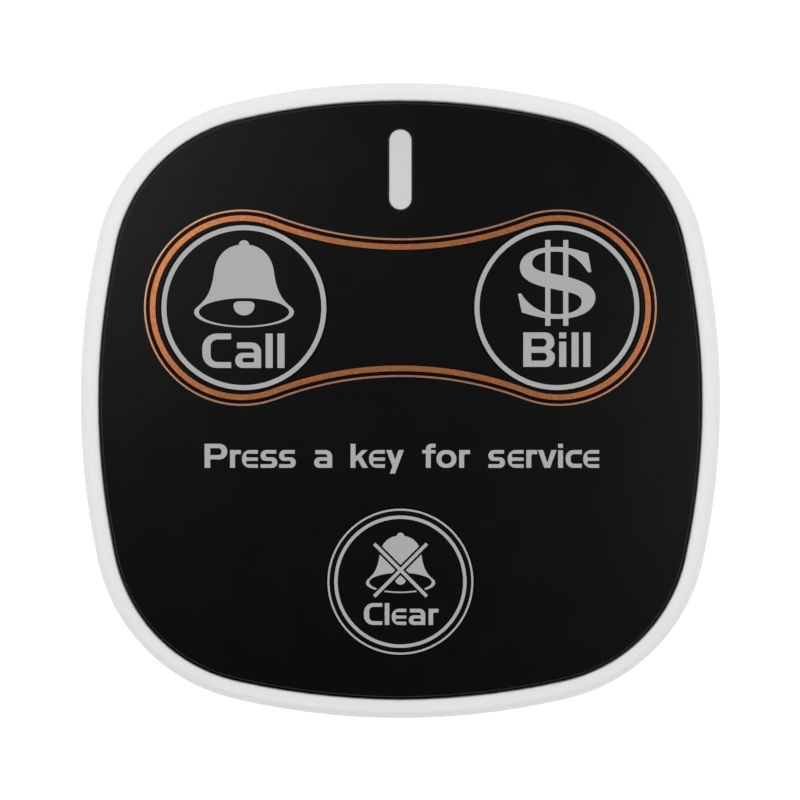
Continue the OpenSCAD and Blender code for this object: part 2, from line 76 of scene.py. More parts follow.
call_at = centre("call_ring").to_2d()
bill_at = centre("bill_ring").to_2d()
clear_at = centre("clear_rings").to_2d()
window_at = centre("light_window").to_2d()
face_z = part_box("call_keycap")[1].z
panel_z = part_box("panel_adhesive")[1].z
ledge_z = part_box("panel_adhesive")[0].z
cover_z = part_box("rear_cover")[0].z
foot_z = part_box("rubber_feet")[1].z

# The outline's eight arcs: their radii, and the centres that make them run into each other
side_r = 104 * MM
end_r = 99.3 * MM
corner_r = 25 * MM
side_c = Vector((half_w - side_r, 0))
end_c = Vector((0, half_l - end_r))


def corner_centre():
    """Centre of the first quarter's corner arc, which touches the side arc and the end arc."""
    from_side = side_r - corner_r
    from_end = end_r - corner_r
    apart = (end_c - side_c).length
    along = (end_c - side_c) / apart
    foot = (from_side ** 2 - from_end ** 2 + apart ** 2) / (2 * apart)
    height = math.sqrt(from_side ** 2 - foot ** 2)
    return side_c + foot * along + height * Vector((-along.y, along.x))


corner_c = corner_centre()
side_half = math.atan2(corner_c.y - side_c.y, corner_c.x - side_c.x)
end_half = math.atan2(corner_c.x - end_c.x, corner_c.y - end_c.y)
corner_turn = math.pi / 2 - side_half - end_half

# ---------------------------------------------------------------- shapes


def outline_path():
    """The way round the outline, as arcs: centre, angle turned and steps."""
    flat_steps, corner_steps = 14, 26
    next_corner_c = Vector((-corner_c.x, corner_c.y))
    half = [
        (side_c, 2 * side_half, flat_steps),
        (corner_c, corner_turn, corner_steps),
        (end_c, 2 * end_half, flat_steps),
        (next_corner_c, corner_turn, corner_steps),
    ]
    return half + [(-c, turn, steps) for c, turn, steps in half]


def outline_points(profile):
    """Where a profile of (inset, height) starts on the outline."""
    a = -side_half
    return [
        (side_c.x + (side_r - inset) * math.cos(a), side_c.y + (side_r - inset) * math.sin(a), z)
        for inset, z in profile
    ]


def circle_path(at, steps=128):
    """The way round a circle."""
    return [(Vector(at), 2 * math.pi, steps)]


def circle_points(at, profile):
    """Where a profile of (radius, height) starts on a circle."""
    return [(at[0] + r, at[1], z) for r, z in profile]


def slot_path(at, straight, steps=24):
    """The way round an upright slot with round ends."""
    up = Vector((at[0], at[1] + straight / 2))
    down = Vector((at[0], at[1] - straight / 2))
    return [
        Vector((0, straight)), (up, math.pi, steps),
        Vector((0, -straight)), (down, math.pi, steps),
    ]


def slot_points(at, straight, profile):
    """Where a profile of (distance from the middle line, height) starts on a slot."""
    return [(at[0] + r, at[1] - straight / 2, z) for r, z in profile]


def sweep(bm, points, path, closed=False):
    """Carries a chain of points along a path of arcs and straight shifts, back to its start."""
    verts = [bm.verts.new(p) for p in points]
    pairs = list(zip(verts, verts[1:]))
    if closed:
        pairs.append((verts[-1], verts[0]))
    geom = verts + [bm.edges.new(pair) for pair in pairs]
    for move in path:
        if isinstance(move, Vector):
            edges = [g for g in geom if isinstance(g, bmesh.types.BMEdge)]
            geom = bmesh.ops.extrude_edge_only(bm, edges=edges)["geom"]
            moved = [g for g in geom if isinstance(g, bmesh.types.BMVert)]
            bmesh.ops.translate(bm, verts=moved, vec=move.to_3d())
            geom = [g for g in geom if not isinstance(g, bmesh.types.BMFace)]
        else:
            at, turn, steps = move
            geom = bmesh.ops.spin(
                bm, geom=geom, cent=at.to_3d(), axis=(0, 0, 1), angle=turn, steps=steps,
                use_merge=False, use_duplicate=False,
            )["geom_last"]
    bmesh.ops.remove_doubles(bm, verts=bm.verts, dist=2 * EPS)


def fill_level(bm, z):
    """Closes the open loops at one height with a flat face that leaves the holes open."""
    edges = [
        e for e in bm.edges
        if len(e.link_faces) < 2 and all(abs(v.co.z - z) < 10 * EPS for v in e.verts)
    ]
    made = bmesh.ops.triangle_fill(bm, edges=edges, use_beauty=True, use_dissolve=False)["geom"]
    for g in made:
        if isinstance(g, bmesh.types.BMFace):
            g.smooth = False


def round_edge(inset, z, r, steps=5):
    """Profile points of a rounded outer top edge that ends r further in, at height z."""
    return [
        (inset + r * (1 - math.cos(a)), z - r * (1 - math.sin(a)))
        for a in (math.pi / 2 * k / steps for k in range(steps + 1))
    ]


# Where the face reaches past an even step inside the outline, or falls short of it, on the
# right side and the left alike: the angle up from the level and the spread, in degrees, and
# the reach in millimetres
FACE_REACH = [(-45, 13, 0.14), (24, 12, -0.11), (-80, 14, -0.09)]


def nearest_arc(at):
    """Centre and radius of the outline's arc that a place in the first quarter belongs to."""
    if math.atan2(at.y - side_c.y, at.x - side_c.x) < side_half:
        return side_c, side_r
    if math.atan2(at.x - end_c.x, at.y - end_c.y) < end_half:
        return end_c, end_r
    return corner_c, corner_r


def fit_face_edge(bm, floor_z):
    """Moves the seam between rim and face, above one height, to the face's own outline: fuller
    at the lower corners, and slimmer at the bottom and the upper ends of the sides. The rim's
    crown gives way to it little by little, and the shell's outer surface stays."""
    still_in, moved_in, deepest_in = 1.3 * MM, 2.2 * MM, 4 * MM
    for v in bm.verts:
        at = Vector((abs(v.co.x), abs(v.co.y)))
        arc_c, arc_r = nearest_arc(at)
        inset = arc_r - (at - arc_c).length
        if v.co.z < floor_z - EPS or not still_in < inset < deepest_in:
            continue
        angle = math.degrees(math.atan2(v.co.y, at.x))
        reach = MM * sum(
            mm * math.exp(-((angle - peak) / spread) ** 2) for peak, spread, mm in FACE_REACH
        )
        share = min(1, (inset - still_in) / (moved_in - still_in))
        out = (at - arc_c).normalized() * reach * share
        v.co.x += out.x * math.copysign(1, v.co.x)
        v.co.y += out.y * math.copysign(1, v.co.y)


def smooth_all(bm, sharp=math.radians(35)):
    """Shades a mesh smooth, except across the edges that turn by more than the sharp angle."""
    for f in bm.faces:
        f.smooth = True
    for e in bm.edges:
        if len(e.link_faces) == 2 and e.calc_face_angle(0) > sharp:
            e.smooth = False


def add_piece(name, bm, material, body, replaces=()):
    """Makes an object of a finished mesh, with its faces turned outwards, and lets it ride."""
    bmesh.ops.recalc_face_normals(bm, faces=bm.faces)
    mesh = bpy.data.meshes.new(name)
    bm.to_mesh(mesh)
    bm.free()
    piece = bpy.data.objects.new(name, mesh)
    bpy.context.scene.collection.objects.link(piece)
    mesh.materials.append(material)
    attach(piece, body)
    if replaces:
        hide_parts(*replaces)
    return piece


# ---------------------------------------------------------------- materials


def node_group(name, inputs, outputs):
    """A new shader node group, with its input and output nodes."""
    group = bpy.data.node_groups.new(name, "ShaderNodeTree")
    for label, kind, value in inputs:
        socket = group.interface.new_socket(label, in_out="INPUT", socket_type=kind)
        socket.default_value = value
    for label, kind in outputs:
        group.interface.new_socket(label, in_out="OUTPUT", socket_type=kind)
    return group, group.nodes.new("NodeGroupInput"), group.nodes.new("NodeGroupOutput")


def math_node(tree, operation, a, b):
    """Adds a math node whose two inputs are numbers or sockets, and returns its result."""
    node = tree.nodes.new("ShaderNodeMath")
    node.operation = operation
    for socket, value in zip(node.inputs, (a, b)):
        if isinstance(value, (int, float)):
            socket.default_value = value
        else:
            tree.links.new(value, socket)
    return node.outputs[0]


def make_grain_group():
    """Moulded grain: a fine bump, and a slow drift of the shade from moulding and handling."""
    group, given, out = node_group(
        "moulded_grain",
        [("Grain Scale", "NodeSocketFloat", 5000), ("Drift Scale", "NodeSocketFloat", 60),
         ("Drift", "NodeSocketFloat", 0.05), ("Speckle", "NodeSocketFloat", 0.1)],
        [("Height", "NodeSocketFloat"), ("Shade", "NodeSocketFloat"), ("Drift", "NodeSocketFloat")],
    )
    coords = group.nodes.new("ShaderNodeTexCoord").outputs["Object"]
    grain = group.nodes.new("ShaderNodeTexNoise")
    grain.inputs["Detail"].default_value = 3
    grain.inputs["Roughness"].default_value = 0.6
    drift = group.nodes.new("ShaderNodeTexNoise")
    drift.inputs["Detail"].default_value = 2
    for noise, scale in ((grain, "Grain Scale"), (drift, "Drift Scale")):
        group.links.new(coords, noise.inputs["Vector"])
        group.links.new(given.outputs[scale], noise.inputs["Scale"])
    speck = math_node(group, "SUBTRACT", grain.outputs[0], 0.5)
    speck = math_node(group, "MULTIPLY", speck, given.outputs["Speckle"])
    slow = math_node(group, "SUBTRACT", drift.outputs[0], 0.5)
    slow = math_node(group, "MULTIPLY", slow, given.outputs["Drift"])
    shade = math_node(group, "ADD", math_node(group, "ADD", speck, slow), 1)
    group.links.new(grain.outputs[0], out.inputs["Height"])
    group.links.new(shade, out.inputs["Shade"])
    group.links.new(slow, out.inputs["Drift"])
    return group


GRAIN = make_grain_group()


def surface(
    name, color, roughness, metallic=0.0, specular=0.5, grain_mm=0.2, bump=0.02, speckle=0.1,
    drift=0.05, drift_mm=15, coat=0.0, coat_roughness=0.1, coat_ior=1.5, subsurface=0.0,
    matte_edge=0.0,
):
    """A moulded, printed or plated surface with its own grain; bump is in millimetres.
    An anti-glare surface loses the matte_edge share of its shine towards grazing view."""
    rough_drift = 0.3
    material = bpy.data.materials.new(name)
    material.use_nodes = True
    tree = material.node_tree
    shader = tree.nodes["Principled BSDF"]
    group = tree.nodes.new("ShaderNodeGroup")
    group.node_tree = GRAIN
    group.inputs["Grain Scale"].default_value = 1 / (grain_mm * MM)
    group.inputs["Drift Scale"].default_value = 1 / (drift_mm * MM)
    group.inputs["Drift"].default_value = drift
    group.inputs["Speckle"].default_value = speckle
    tint = tree.nodes.new("ShaderNodeMix")
    tint.data_type = "RGBA"
    tint.blend_type = "MULTIPLY"
    tint.inputs["Factor"].default_value = 1
    tint.inputs["A"].default_value = (*color, 1)
    tree.links.new(group.outputs["Shade"], tint.inputs["B"])
    tree.links.new(tint.outputs["Result"], shader.inputs["Base Color"])
    rough = math_node(tree, "MULTIPLY_ADD", group.outputs["Drift"], rough_drift)
    rough.node.inputs[2].default_value = roughness
    tree.links.new(rough, shader.inputs["Roughness"])
    relief = tree.nodes.new("ShaderNodeBump")
    relief.inputs["Strength"].default_value = 1
    relief.inputs["Distance"].default_value = bump * MM
    tree.links.new(group.outputs["Height"], relief.inputs["Height"])
    tree.links.new(relief.outputs["Normal"], shader.inputs["Normal"])
    shader.inputs["Metallic"].default_value = metallic
    shader.inputs["Specular IOR Level"].default_value = specular
    if matte_edge:
        slant = tree.nodes.new("ShaderNodeLayerWeight")
        shine = math_node(tree, "MULTIPLY_ADD", slant.outputs["Facing"], -matte_edge * specular)
        shine.node.inputs[2].default_value = specular
        tree.links.new(shine, shader.inputs["Specular IOR Level"])
    shader.inputs["Coat Weight"].default_value = coat
    shader.inputs["Coat Roughness"].default_value = coat_roughness
    shader.inputs["Coat IOR"].default_value = coat_ior
    shader.inputs["Subsurface Weight"].default_value = subsurface
    shader.inputs["Subsurface Scale"].default_value = 1 * MM
    return material


white_shell = surface(
    "white_shell", (0.80, 0.80, 0.795), 0.42, grain_mm=0.35, bump=0.004, speckle=0.02, drift=0.02,
)
black_face = surface(
    "black_face", (0.0004, 0.0004, 0.0004), 0.3, specular=0.18, grain_mm=0.25, bump=0.004,
    speckle=0.8, drift=0.2, drift_mm=6, matte_edge=0.75,
)
silver_ink = surface(
    "silver_ink", (0.393, 0.392, 0.39), 0.5, metallic=0.1, grain_mm=0.12, bump=0.003, speckle=0.12,
)
clear_coat = {"coat": 1.0, "coat_roughness": 0.3, "coat_ior": 1.7}
copper_foil = surface(
    "copper_foil", (0.62, 0.2, 0.05), 0.3, metallic=1.0, grain_mm=0.3, bump=0.004, speckle=1.5,
    **clear_coat,
)
pale_foil = surface(
    "pale_foil", (0.57, 0.34, 0.24), 0.3, metallic=1.0, grain_mm=0.3, bump=0.003, speckle=0.8,
    **clear_coat,
)
# A dark brown printed ground under the copper lines. Its colour, copper foil in shadow, is painted
# shade between and beside them.
brown_ground_and_painted_shade = surface(
    "brown_ground_and_painted_shade", (0.032, 0.0065, 0.002), 0.3, metallic=1.0, grain_mm=0.2, bump=0.003,
)
milky_window = surface(
    "milky_window", (0.62, 0.62, 0.615), 0.35, grain_mm=0.5, bump=0.002, speckle=0.02,
    subsurface=0.3,
)
# The pale grey of the thin strip on the plate's edge is a painted highlight.
painted_edge_highlight = surface("painted_edge_highlight", (0.12, 0.12, 0.12), 0.25, grain_mm=0.3, bump=0.002, speckle=0.5)
grey_print = surface("grey_print", (0.09, 0.09, 0.095), 0.5, bump=0.003, speckle=0.2)
dark_rubber = surface("dark_rubber", (0.02, 0.02, 0.021), 0.75, speckle=0.3)
green_board = surface(
    "green_board", (0.012, 0.10, 0.035), 0.3, grain_mm=1.0, bump=0.01, coat=0.4,
)
black_epoxy = surface(
    "black_epoxy", (0.014, 0.014, 0.015), 0.6, grain_mm=0.15, bump=0.01, speckle=0.3,
)
plated_steel = surface(
    "plated_steel", (0.62, 0.62, 0.60), 0.28, metallic=1.0, grain_mm=0.4, bump=0.003,
)
spring_bronze = surface(
    "spring_bronze", (0.62, 0.50, 0.30), 0.3, metallic=1.0, grain_mm=0.4, bump=0.003,
)
red_nylon = surface("red_nylon", (0.42, 0.03, 0.015), 0.45, bump=0.01)
foam_tape = surface("foam_tape", (0.02, 0.02, 0.02), 0.8, grain_mm=0.3, bump=0.03, speckle=0.4)
tan_ceramic = surface("tan_ceramic", (0.36, 0.24, 0.12), 0.5, bump=0.005)
lamp_resin = surface("lamp_resin", (0.82, 0.78, 0.55), 0.25, grain_mm=0.3, bump=0.003, coat=0.3)

node_finish = {
    "panel_adhesive": foam_tape, "housing_gasket": dark_rubber,
    "call_keycap": black_face, "bill_keycap": black_face, "clear_keycap": black_face,
    "light_window": milky_window, "indicator_led": lamp_resin, "circuit_board": green_board,
    "battery_holder": black_epoxy, "positive_contact": spring_bronze,
    "negative_contact": spring_bronze, "coin_cell": plated_steel,
    "battery_cover": white_shell, "cover_seal": dark_rubber,
    "controller_chip": black_epoxy, "radio_chip": black_epoxy, "crystal_can": plated_steel,
    "antenna_coil": spring_bronze, "chip_capacitors": tan_ceramic,
    "cover_screws": plated_steel, "rubber_feet": dark_rubber,
    "rear_cover": white_shell, "upper_housing": white_shell, "face_panel": black_face,
    "copper_band": copper_foil,
}
for key in ("call", "bill", "clear"):
    node_finish[key + "_switch_body"] = black_epoxy
    node_finish[key + "_switch_shell"] = plated_steel
    node_finish[key + "_actuator"] = red_nylon
    node_finish[key + "_symbol"] = silver_ink
    node_finish[key + ("_rings" if key == "clear" else "_ring")] = silver_ink
for node, material in node_finish.items():
    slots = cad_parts[node].data.materials
    slots.clear()
    slots.append(material)

# ---------------------------------------------------------------- shell

rim_w = 2.53 * MM
rim_h = 2.6 * MM
rim_z = face_z - 0.4 * MM
shoulder_z = rim_z - rim_h
skirt_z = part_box("upper_housing")[0].z
skirt_in = 1.2 * MM


def shell_profile():
    """The shell's section: up the tapered wall, over the rounded rim, and down inside, past the
    ledge that carries the face and the rib that the gasket lies against."""
    wall_steps, rim_steps, lip_steps = 8, 12, 6
    wall_bow = 1.6
    bevel_in, bevel_out, bevel_h = 0.12 * MM, 0.02 * MM, 0.14 * MM
    shoulder_w, crown, lip_r = 1.2 * MM, 0.1 * MM, 0.3 * MM
    ledge_in, ledge_t, haunch_h = 5.2 * MM, 1.15 * MM, 2.6 * MM
    wall_in, seat_in = 2.3 * MM, 2.2 * MM
    rib_in, rib_low, rib_high, rib_top = 3.4 * MM, 3.6 * MM, 4.4 * MM, 4.6 * MM
    wall = [
        (skirt_in * (1 - t) ** wall_bow, skirt_z + (shoulder_z - skirt_z) * t)
        for t in (k / wall_steps for k in range(wall_steps))
    ]
    wall[0] = (skirt_in + bevel_in, skirt_z)
    wall.insert(1, (skirt_in - bevel_out, skirt_z + bevel_h))
    rim = [
        (shoulder_w * (1 - math.cos(a)), shoulder_z + (rim_h - crown) * math.sin(a))
        for a in (math.pi / 2 * k / rim_steps for k in range(rim_steps + 1))
    ]
    lip_c = rim_w - lip_r
    lip = [(shoulder_w + (lip_c - shoulder_w) / 2, rim_z - 0.25 * crown)] + [
        (lip_c + lip_r * math.sin(a), rim_z - lip_r * (1 - math.cos(a)))
        for a in (math.pi / 2 * k / lip_steps for k in range(lip_steps + 1))
    ]
    inside = [
        (rim_w, ledge_z), (ledge_in, ledge_z), (ledge_in, ledge_z - ledge_t),
        (wall_in, ledge_z - haunch_h), (wall_in, rib_top), (rib_in, rib_high),
        (rib_in, rib_low), (seat_in, rib_low), (seat_in, skirt_z),
    ]
    return wall + rim + lip + inside


def shell_body():
    """The pale shell: its section carried round the outline."""
    bm = bmesh.new()
    sweep(bm, outline_points(shell_profile()), outline_path(), closed=True)
    fit_face_edge(bm, ledge_z)
    smooth_all(bm)
    add_piece("shell_body", bm, white_shell, "root", ["upper_housing"])


shell_body()

# ---------------------------------------------------------------- rear shell


def four_places(x, y):
    """A place in the first quarter and its mirror images in the other three."""
    return [(sx * x, sy * y) for sx in (-1, 1) for sy in (-1, 1)]


cover_in = 2.55 * MM
cover_edge = 0.4 * MM
cover_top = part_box("housing_gasket")[0].z
recess_r = 15.6 * MM
recess_z = cover_z + 1 * MM
recess_edge = 0.12 * MM
hole_r = 14.05 * MM
foot_at = four_places(29.6 * MM, 29 * MM)
pocket_r = 4.6 * MM
pocket_z = foot_z - 0.03 * MM
pocket_edge = 0.08 * MM
screw_r = 2.9 * MM
lip_start, lip_end, lip_z = 3.7 * MM, 4.9 * MM, 5.4 * MM
post_at = four_places(25 * MM, 24 * MM)
post_r, peg_r, peg_h = 2.2 * MM, 0.9 * MM, 0.6 * MM
board_z, board_top = (corner.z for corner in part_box("circuit_board"))


def round_mouth(r, z, edge, steps=4):
    """Profile points of a hole's rounded mouth in a face that looks down, at height z."""
    return [
        (r + edge * (1 - math.sin(a)), z + edge * (1 - math.cos(a)))
        for a in (math.pi / 2 * k / steps for k in range(steps + 1))
    ]


def rear_shell():
    """The rear cover: its rounded plate with the battery recess and the foot pockets, the lip
    that goes into the shell, and the four posts that carry the board."""
    bm = bmesh.new()
    outer = [(cover_in, cover_top)] + [
        (inset, 2 * cover_z + cover_edge - z)
        for inset, z in round_edge(cover_in, cover_z + cover_edge, cover_edge)
    ]
    sweep(bm, outline_points(outer), outline_path())
    recess = round_mouth(recess_r, cover_z, recess_edge) + [
        (recess_r, recess_z), (hole_r, recess_z), (hole_r, cover_top),
    ]
    sweep(bm, circle_points((0, 0), recess), circle_path((0, 0)))
    pocket = round_mouth(pocket_r, cover_z, pocket_edge) + [
        (pocket_r, pocket_z), (screw_r, pocket_z), (screw_r, cover_top),
    ]
    for at in foot_at:
        sweep(bm, circle_points(at, pocket), circle_path(at, 64))
    smooth_all(bm)
    fill_level(bm, cover_z)
    fill_level(bm, cover_top)
    lip = [
        (lip_start, cover_top - EPS), (lip_start, lip_z),
        (lip_end, lip_z), (lip_end, cover_top - EPS),
    ]
    sweep(bm, outline_points(lip), outline_path(), closed=True)
    post = (post_r, cover_top - EPS, board_z)
    peg = (peg_r, board_z - EPS, board_top + peg_h)
    for at in post_at:
        for r, z0, z1 in (post, peg):
            bmesh.ops.create_cone(
                bm, cap_ends=True, segments=32, radius1=r, radius2=r, depth=z1 - z0,
                matrix=Matrix.Translation((*at, (z0 + z1) / 2)),
            )
    add_piece("rear_shell", bm, white_shell, "root", ["rear_cover"])


rear_shell()


def turn_marks(name, body, z, marks):
    """Raised moulded marks on a face that looks down, each given by its distance out, angle,
    radius and inner radius, which is 0 for a filled one."""
    mark_h, draft = 0.06 * MM, 0.85
    bm = bmesh.new()
    for out, angle, r, r_in in marks:
        at = (out * math.cos(angle), out * math.sin(angle))
        if r_in:
            section = [(r_in, z + EPS), (r_in, z - mark_h), (r, z - mark_h), (r, z + EPS)]
            sweep(bm, circle_points(at, section), circle_path(at, 32), closed=True)
        else:
            bmesh.ops.create_cone(
                bm, cap_ends=True, segments=32, radius1=draft * r, radius2=r, depth=mark_h,
                matrix=Matrix.Translation((*at, z - mark_h / 2)),
            )
    smooth_all(bm)
    add_piece(name, bm, grey_print, body)


shut_at = math.radians(90)
open_at = shut_at - math.radians(35)
mark_out, pointer_out = 17.4 * MM, 13.2 * MM
mark_r, mark_r_in = 0.7 * MM, 0.45 * MM
turn_marks("cover_marks", "root", cover_z,
           [(mark_out, shut_at, mark_r, 0), (mark_out, open_at, mark_r, mark_r_in)])
turn_marks("cover_pointer", "battery_door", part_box("battery_cover")[0].z,
           [(pointer_out, shut_at, mark_r, 0)])

# ---------------------------------------------------------------- face plate

key_gap = 0.03 * MM
key_edge = 0.03 * MM
panel_in = rim_w + 0.34 * MM
panel_round = 0.12 * MM
step_in = rim_w + 0.1 * MM
step_z = face_z - 0.9 * MM
slot_w = 3.15 * MM
slot_l = 11.1 * MM
slot_straight = slot_l - slot_w
# Each key's place and its hole's radius: the printed ring, a bare margin and the gap
upper_margin, lower_margin = 0.2 * MM, 0.15 * MM
key_holes = [
    (call_at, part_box("call_ring")[1].x - call_at.x + upper_margin + key_gap),
    (bill_at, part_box("bill_ring")[1].x - bill_at.x + upper_margin + key_gap),
    (clear_at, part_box("clear_rings")[1].x - clear_at.x + lower_margin + key_gap),
]


def face_plate():
    """The black plate, with a step under its rounded edge, the key holes and the window slot."""
    bm = bmesh.new()
    edge = [(step_in, panel_z), (step_in, step_z), (panel_in, step_z)]
    edge += round_edge(panel_in, face_z, panel_round)
    sweep(bm, outline_points(edge), outline_path())
    fit_face_edge(bm, panel_z)
    for at, r in key_holes:
        hole = [(r + key_edge, face_z), (r, face_z - key_edge), (r, panel_z)]
        sweep(bm, circle_points(at, hole), circle_path(at))
    half = slot_w / 2
    mouth_w, mouth_mid_w, mouth_mid_h, mouth_h = 0.22 * MM, 0.16 * MM, 0.02 * MM, 0.14 * MM
    mouth = [
        (half + mouth_w, face_z), (half + mouth_mid_w, face_z - mouth_mid_h),
        (half, face_z - mouth_h), (half, panel_z),
    ]
    sweep(bm, slot_points(window_at, slot_straight, mouth), slot_path(window_at, slot_straight))
    smooth_all(bm)
    fill_level(bm, face_z)
    fill_level(bm, panel_z)
    add_piece("face_plate", bm, black_face, "root", ["face_panel"])


def plate_glint():
    """A painted highlight along the plate's edge: a thin paler strip laid over its rounding."""
    width, proud, back = 0.1 * MM, 0.002 * MM, 0.01 * MM
    strip = [
        (panel_in - proud, face_z - width), (panel_in - proud + width, face_z + proud),
        (panel_in + width + 2 * proud, face_z - back), (panel_in + back, face_z - width - back),
    ]
    bm = bmesh.new()
    sweep(bm, outline_points(strip), outline_path(), closed=True)
    fit_face_edge(bm, panel_z)
    smooth_all(bm)
    add_piece("panel_edge_painted_highlight", bm, painted_edge_highlight, "root")


face_plate()
plate_glint()

# ---------------------------------------------------------------- printed lines

ink_t = 0.035 * MM
ink_z = face_z - 0.004 * MM  # the ink starts a little inside the face


def flat_line(r_in, r_out, t=ink_t):
    """Section of a printed line, with the rounded shoulders of laid ink."""
    shoulder = 0.3 * t
    return [(r_in, ink_z), (r_in, ink_z + t - shoulder), (r_in + shoulder, ink_z + t),
            (r_out - shoulder, ink_z + t), (r_out, ink_z + t - shoulder), (r_out, ink_z)]


def print_rings(name, at, rings, body, node):
    """Prints circles on a key, each given by its outer radius and its width."""
    bm = bmesh.new()
    fine = circle_path(at, 160)
    for r_out, w in rings:
        sweep(bm, circle_points(at, flat_line(r_out - w, r_out)), fine, closed=True)
    smooth_all(bm)
    add_piece(name, bm, silver_ink, body, [node])


upper_ring = [(11.32 * MM, 0.68 * MM)]
lower_rings = [(10.02 * MM, 0.27 * MM), (9.09 * MM, 0.47 * MM)]
print_rings("call_ring_ink", call_at, upper_ring, "call_key", "call_ring")
print_rings("bill_ring_ink", bill_at, upper_ring, "bill_key", "bill_ring")
print_rings("clear_ring_ink", clear_at, lower_rings, "clear_key", "clear_rings")

# The middle line of the band's thick line: an arc round each upper key, and between them two
# arcs that bend inwards, until they are band_waist away from the line through the keys
band_r = 12.3 * MM
band_waist = 8.33 * MM
band_x = bill_at.x + 0.24 * MM
band_y = bill_at.y
waist_r = (band_x ** 2 + band_waist ** 2 - band_r ** 2) / (2 * (band_r - band_waist))
waist_c = band_waist + waist_r
waist_half = math.atan2(band_x, waist_c)


def band_path():
    """The way round the band."""
    end_steps, waist_steps = 96, 40
    end_turn = math.pi + 2 * waist_half
    return [
        (Vector((band_x, band_y)), end_turn, end_steps),
        (Vector((0, band_y + waist_c)), -2 * waist_half, waist_steps),
        (Vector((-band_x, band_y)), end_turn, end_steps),
        (Vector((0, band_y - waist_c)), -2 * waist_half, waist_steps),
    ]


def band_points(profile):
    """Where a profile of (distance out from the middle line, height) starts on the band."""
    a = -math.pi / 2 - waist_half
    return [
        (band_x + (band_r + out) * math.cos(a), band_y + (band_r + out) * math.sin(a), z)
        for out, z in profile
    ]


def print_band(name, start, end, thickness, material, replaces=()):
    """Lays a line along the band, between two distances out from its middle line. Both, and
    the line's thickness, are in millimetres."""
    bm = bmesh.new()
    section = flat_line(start * MM, end * MM, thickness * MM)
    sweep(bm, band_points(section), band_path(), closed=True)
    smooth_all(bm)
    add_piece(name, bm, material, "root", replaces)


print_band("copper_line", -0.37, 0.38, 0.05, copper_foil, ["copper_band"])
print_band("copper_hairline", 0.93, 1.185, 0.05, pale_foil)
# The wide dark ground is partly print and partly painted shade between and beside the copper lines.
print_band("band_ground_and_painted_shade", -0.57, 1.34, 0.012, brown_ground_and_painted_shade)

# ---------------------------------------------------------------- symbols and labels

ROUND = 0.5523  # a quarter circle's handle, as a share of its radius
SYMBOL_STEPS = 16
LETTER_STEPS = 6


def flat_curves(loops, steps):
    """A flat filled mesh of closed loops; a loop inside another is a hole. A loop's points are
    (place, handle before, handle after), and None is a straight side's handle."""
    data = bpy.data.curves.new("outline", "CURVE")
    data.dimensions = "2D"
    data.fill_mode = "BOTH"
    data.resolution_u = steps
    for points in loops:
        spline = data.splines.new("BEZIER")
        spline.use_cyclic_u = True
        spline.bezier_points.add(len(points) - 1)
        for knot, (place, before, after) in zip(spline.bezier_points, points):
            knot.co = (*place, 0)
            knot.handle_left_type = "FREE" if before else "VECTOR"
            knot.handle_right_type = "FREE" if after else "VECTOR"
            if before:
                knot.handle_left = (*before, 0)
            if after:
                knot.handle_right = (*after, 0)
    maker = bpy.data.objects.new("maker", data)
    bpy.context.scene.collection.objects.link(maker)
    bpy.context.view_layer.update()
    drawn = maker.evaluated_get(bpy.context.evaluated_depsgraph_get())
    mesh = bpy.data.meshes.new_from_object(drawn)
    bm = bmesh.new()
    bm.from_mesh(mesh)
    bpy.data.objects.remove(maker)
    bpy.data.meshes.remove(mesh)
    bmesh.ops.remove_doubles(bm, verts=bm.verts, dist=100 * EPS)
    return bm


def oval(rx, ry, y=0.0):
    """A loop round an ellipse whose centre is on the middle line, at height y."""
    return [
        ((rx, y), (rx, y - ROUND * ry), (rx, y + ROUND * ry)),
        ((0, y + ry), (ROUND * rx, y + ry), (-ROUND * rx, y + ry)),
        ((-rx, y), (-rx, y + ROUND * ry), (-rx, y - ROUND * ry)),
        ((0, y - ry), (-ROUND * rx, y - ry), (ROUND * rx, y - ry)),
    ]


def both_sides(right):
    """A closed loop from its right side, which starts and ends on the middle line."""
    left = [
        ((-place[0], place[1]), (-after[0], after[1]), (-before[0], before[1]))
        for place, before, after in reversed(right[1:-1])
    ]
    return right + left


def bell(lip_x, lip_y, opening, clapper):
    """A bell seen a little from below, in millimetres, its lip centred on the origin."""
    knob_dome_and_lip = both_sides([
        ((0, 9.9), (-0.4, 9.9), (0.4, 9.9)),
        ((0.7, 9.26), (0.74, 9.62), (2.4, 9.05)),
        ((4.08, 5.75), (3.7, 7.9), (4.44, 3.0)),
        ((6.3, 0.85), (5.03, 1.95), (6.65, 0.58)),
        ((lip_x, 0), (lip_x, 0.32), (lip_x, -ROUND * lip_y)),
        ((0, -lip_y), (ROUND * lip_x, -lip_y), (-ROUND * lip_x, -lip_y)),
    ])
    return flat_curves([knob_dome_and_lip, opening, clapper], SYMBOL_STEPS)


def call_bell():
    """The call key's bell, with a clapper that is flat on top."""
    clapper = both_sides([
        ((0, 1.52), (-0.8, 1.52), (0.8, 1.52)),
        ((1.44, 0.95), (1.44, 1.5), (1.44, 0.2)),
        ((0, -0.42), (0.85, -0.42), (-0.85, -0.42)),
    ])
    return bell(6.85, 2.07, oval(6.21, 1.91, 0.04), clapper)


def cut_strip(bm, at, direction, half):
    """Takes out of a flat mesh the strip that reaches half out on both sides of a line."""
    side = Vector((-direction[1], direction[0], 0)).normalized()
    at = Vector(at).to_3d()
    for s in (-half, half):
        geom = bm.verts[:] + bm.edges[:] + bm.faces[:]
        bmesh.ops.bisect_plane(bm, geom=geom, plane_co=at + s * side, plane_no=side, dist=10 * EPS)
    gone = [f for f in bm.faces if abs((f.calc_center_median() - at).dot(side)) < half]
    bmesh.ops.delete(bm, geom=gone, context="FACES")


